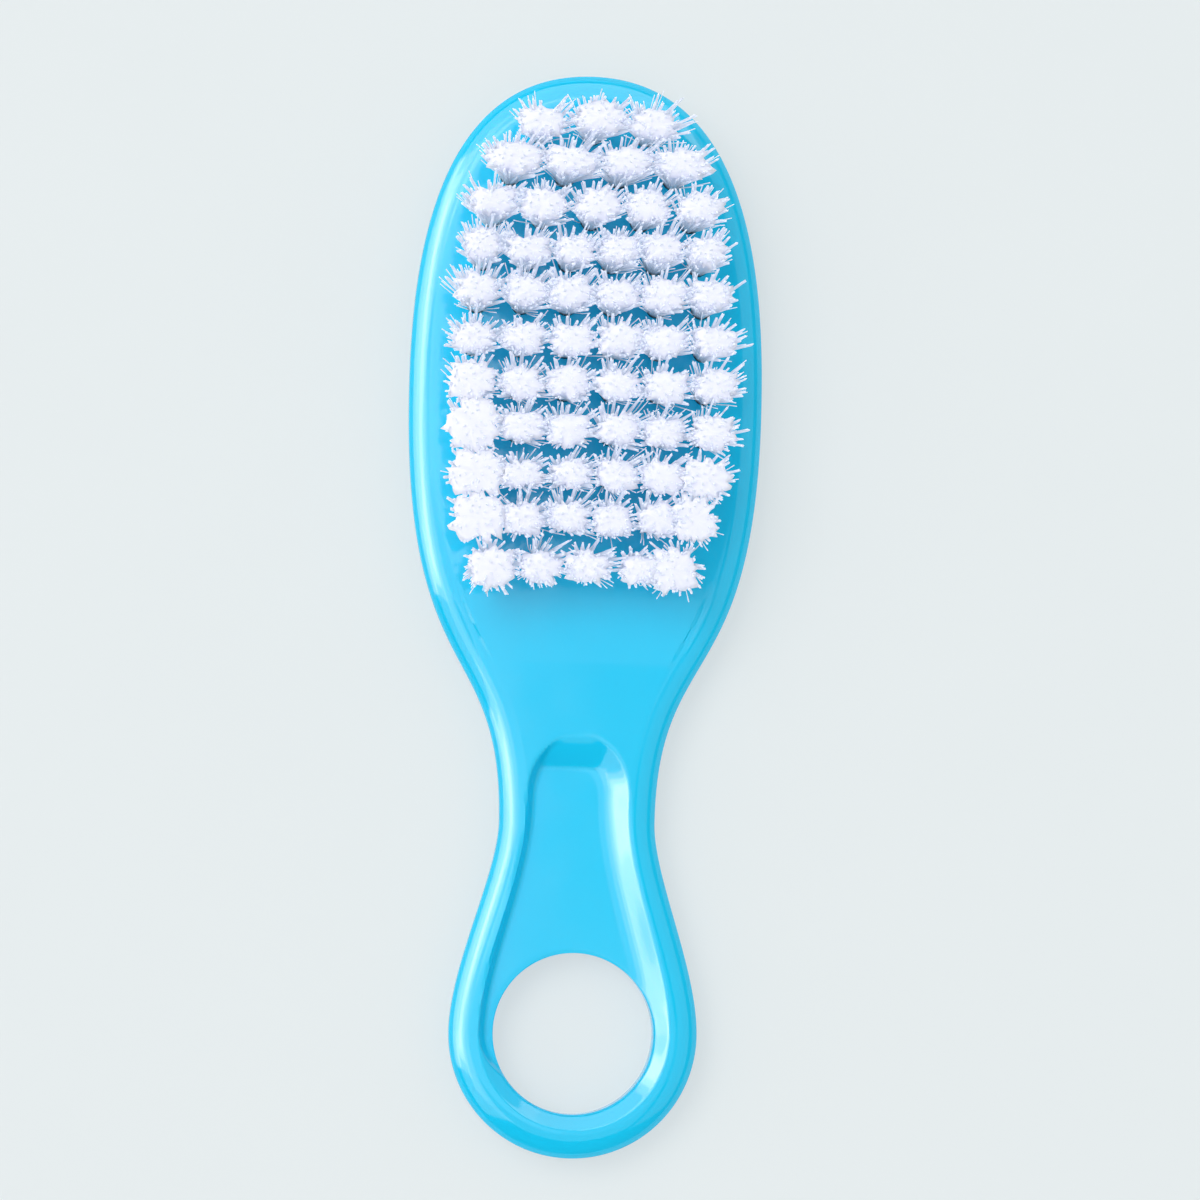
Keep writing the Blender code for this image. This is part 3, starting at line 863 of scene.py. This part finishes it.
def bristle_tree(material):
    """A tree that grows a tuft on each vertex it is given: a packed core, and wisps of filaments."""
    kinds = {label: type(size) for label, size in BRISTLE_SIZES.items()}
    inputs = {label: "Int" if kind is int else "Float" for label, kind in kinds.items()}
    inputs["Seed"] = "Int"
    tree = new_tree("bristle_row", inputs)
    maker = TuftMaker(tree, inputs)
    feet = maker.stored(maker.vertices, "tuft", maker.number("GeometryNodeInputIndex"))
    place = maker.out("GeometryNodeInputPosition")
    feet = maker.stored(feet, "foot", place, "FLOAT_VECTOR")
    join = maker.add("GeometryNodeJoinGeometry")
    for geometry in (packed_cores(maker, feet), filaments(maker, feet)):
        tree.links.new(geometry, join.inputs[0])
    tufts = maker.out("GeometryNodeRealizeInstances", None, {"Geometry": join.outputs[0]})
    tufts = maker.out("GeometryNodeSetMaterial", None, {"Geometry": tufts, "Material": material})
    maker.add("NodeGroupOutput", None, {"Geometry": tufts})
    return tree


def tuft_lean(foot, row, rng):
    """How far a tuft's tips stand off from its foot: the field fans out, and its low corners lean."""
    side = foot.x / HEAD_HALF_WIDTH
    corner = max(0, row - FIRST_CORNER_ROW)
    inwards = 0
    if side < -CORNER_SIDE_SHARE:
        inwards = LEFT_CORNER_LEANS[corner]
    elif side > CORNER_SIDE_SHARE:
        inwards = -RIGHT_CORNER_LEANS[corner]
    across = FAN_OUT * side + inwards
    up = ROW_LEANS[row] + (TOP_MIDDLE_LEAN if row == 0 and side == 0 else 0)
    return across + rng.uniform(-0.0003, 0.0003), up + rng.uniform(-0.00025, 0.00025)


def matting(foot, row):
    """How far a tuft is matted together with its neighbours: the field's low sides are."""
    side = foot.x / HEAD_HALF_WIDTH
    first_row = LEFT_MATTING_ROW if side < 0 else RIGHT_MATTING_ROW
    low = eased((row - first_row) / MATTING_ROWS)
    outward = eased((abs(side) - MATTING_SIDE_SHARE) / MATTING_SIDE_RUN)
    return low * outward * (LAST_ROW_MATTING if row == len(ROW_TUFTS) - 1 else 1)


def tuft_size(foot, row, rng):
    """A tuft's spread across and along, and how loose it is: less so where it is matted."""
    side = foot.x / HEAD_HALF_WIDTH
    matted = matting(foot, row)
    loose = rng.uniform(0.7, 1.3) * (1 - 0.75 * matted) * (1 - 0.3 * max(0, side))
    low_right = side > CORNER_SIDE_SHARE and row > FIRST_CORNER_ROW
    widening = LOW_RIGHT_WIDENING if low_right else MATTED_WIDENING
    across = ROW_SPREADS[row] * rng.uniform(0.93, 1.07) * (1 + widening * matted)
    return across, rng.uniform(0.92, 1.10) * (1 + MATTED_LENGTHENING * matted), loose


def bristle_rows(material):
    """The rows of tufts, one piece a row."""
    tree = bristle_tree(material)
    rng = np.random.default_rng(TUFT_SEED)
    for number, row in enumerate(tuft_feet()):
        mesh = bpy.data.meshes.new("feet")
        mesh.from_pydata(row, [], [])
        for name, kind in (("lean", "FLOAT_VECTOR"), ("size", "FLOAT_VECTOR"), ("matted", "FLOAT")):
            mesh.attributes.new(name, kind, "POINT")
        # A new attribute moves the others' data, so from here on each is looked up by its name
        for place, foot in enumerate(row):
            mesh.attributes["lean"].data[place].vector = (*tuft_lean(foot, number, rng), 0)
            mesh.attributes["size"].data[place].vector = tuft_size(foot, number, rng)
            mesh.attributes["matted"].data[place].value = matting(foot, number)
        piece = added(f"bristle_row_{number + 1:02d}", mesh, None)
        grown(piece, tree, {**BRISTLE_SIZES, "Seed": number + 1})
        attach(piece, "root")
        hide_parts(*[f"tuft_{number + 1:02d}_{place + 1}" for place in range(len(row))])


def moulding(material):
    """The moulding with its tuft holes."""
    body = added("glossy_moulding", moulding_mesh(), material)
    bm = bmesh.new()
    for foot in (foot for row in tuft_feet() for foot in row):
        middle = foot - Vector((0, 0, TUFT_HOLE_DEPTH / 2 - HOLE_OVERRUN / 2))
        bmesh.ops.create_cone(
            bm,
            cap_ends=True,
            segments=HOLE_SIDES,
            radius1=TUFT_HOLE_RADIUS,
            radius2=TUFT_HOLE_RADIUS,
            depth=TUFT_HOLE_DEPTH + HOLE_OVERRUN,
            matrix=Matrix.Translation(middle),
        )
    mesh = bpy.data.meshes.new("holes")
    bm.to_mesh(mesh)
    bm.free()
    tool = added("holes", mesh, None)
    cut = body.modifiers.new("holes", "BOOLEAN")
    cut.operation = "DIFFERENCE"
    cut.object = tool
    whole = body.evaluated_get(bpy.context.evaluated_depsgraph_get())
    mesh = bpy.data.meshes.new_from_object(whole)
    body.modifiers.remove(cut)
    body.data = mesh
    bpy.data.objects.remove(tool)
    mesh.shade_smooth()
    mesh.set_sharp_from_angle(angle=SHARP_EDGE_ANGLE)
    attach(body, "root")
    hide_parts("brush_body")


# The floor, the light and the camera


def floor():
    """A wide pale floor just under the brush."""
    mesh = bpy.data.meshes.new("floor")
    corners = [(x * FLOOR_REACH, y * FLOOR_REACH, 0) for x, y in ((-1, -1), (1, -1), (1, 1), (-1, 1))]
    mesh.from_pydata(corners, [], [(0, 1, 2, 3)])
    thing = added("floor", mesh, pale_floor())
    thing.location.z = -FLOOR_GAP


def area_lamp(name, width, height, glow):
    """A rectangular lamp of this size, whose surface glows this brightly."""
    lamp = bpy.data.lights.new(name, "AREA")
    lamp.shape = "RECTANGLE"
    lamp.size = width
    lamp.size_y = height
    lamp.energy = math.pi * glow * lamp.size * lamp.size_y
    thing = bpy.data.objects.new(name, lamp)
    bpy.context.scene.collection.objects.link(thing)
    return thing


def soft_box(name, azimuth, elevation, width, height, glow, distance, gleams=True):
    """A lamp round the brush, in degrees: one that only gleams on gloss, or that only lights."""
    turn, lift = math.radians(azimuth), math.radians(elevation)
    way = Vector((math.cos(lift) * math.cos(turn), math.cos(lift) * math.sin(turn), math.sin(lift)))
    sides = [2 * distance * math.tan(math.radians(angle) / 2) for angle in (width, height)]
    thing = area_lamp(name, *sides, glow)
    thing.location = way * distance
    thing.rotation_euler = way.to_track_quat("Z", "Y").to_euler()
    if gleams:
        thing.data.color = GLEAM_COLOUR
    thing.visible_diffuse = not gleams
    thing.visible_glossy = gleams


def top_panel(name, across, up, height, glow):
    """A level panel over the brush that only gloss shows: its sides are shares of its height."""
    width, length = (across[1] - across[0]) * height, (up[1] - up[0]) * height
    thing = area_lamp(name, width, length, glow)
    thing.location = (sum(across) / 2 * height, sum(up) / 2 * height, height)
    thing.visible_diffuse = False


def light():
    """Soft studio light: a window on the upper left, gleams on gloss, and a pale room."""
    soft_box("upper_window", 150, 60, 34, 28, 4.2, 2.2, gleams=False)
    for gleam in GLEAMS:
        soft_box(*gleam)
    for panel in TOP_PANELS:
        top_panel(*panel)
    world = bpy.data.worlds.new("pale_room")
    bpy.context.scene.world = world
    world.use_nodes = True
    maker = Maker(world.node_tree)
    seen, glossy = ray_kind(maker, "Is Camera Ray"), ray_kind(maker, "Is Glossy Ray")
    inputs = {"Color": (0.86, 0.92, 0.94, 1), "Strength": 0.80 + 0.10 * seen - 0.62 * glossy}
    shade = maker.out("ShaderNodeBackground", None, inputs)
    maker.add("ShaderNodeOutputWorld", None, {"Surface": shade})


def camera():
    """Looks down from slightly to the left and towards the handle, turned as in the photograph."""
    lens = bpy.data.cameras.new("camera")
    lens.sensor_width = 36
    lens.lens = LENS_LENGTH
    lens.clip_start = 0.01
    thing = bpy.data.objects.new("camera", lens)
    bpy.context.scene.collection.objects.link(thing)
    way = Vector((-math.tan(CAMERA_LEFTWARD_TILT), -math.tan(CAMERA_HANDLEWARD_TILT), 1)).normalized()
    right = Vector((0, 1, 0)).cross(way).normalized()
    turn = Matrix((right, way.cross(right), way)).transposed().to_4x4()
    place = Matrix.Translation(Vector(CAMERA_AIM) + way * CAMERA_DISTANCE)
    thing.matrix_world = place @ turn @ Matrix.Rotation(CAMERA_ROLL, 4, "Z")
    bpy.context.scene.camera = thing


bpy.context.scene.view_settings.view_transform = "Standard"
moulding(glossy_blue())
bristle_rows(soft_white())
floor()
light()
camera()
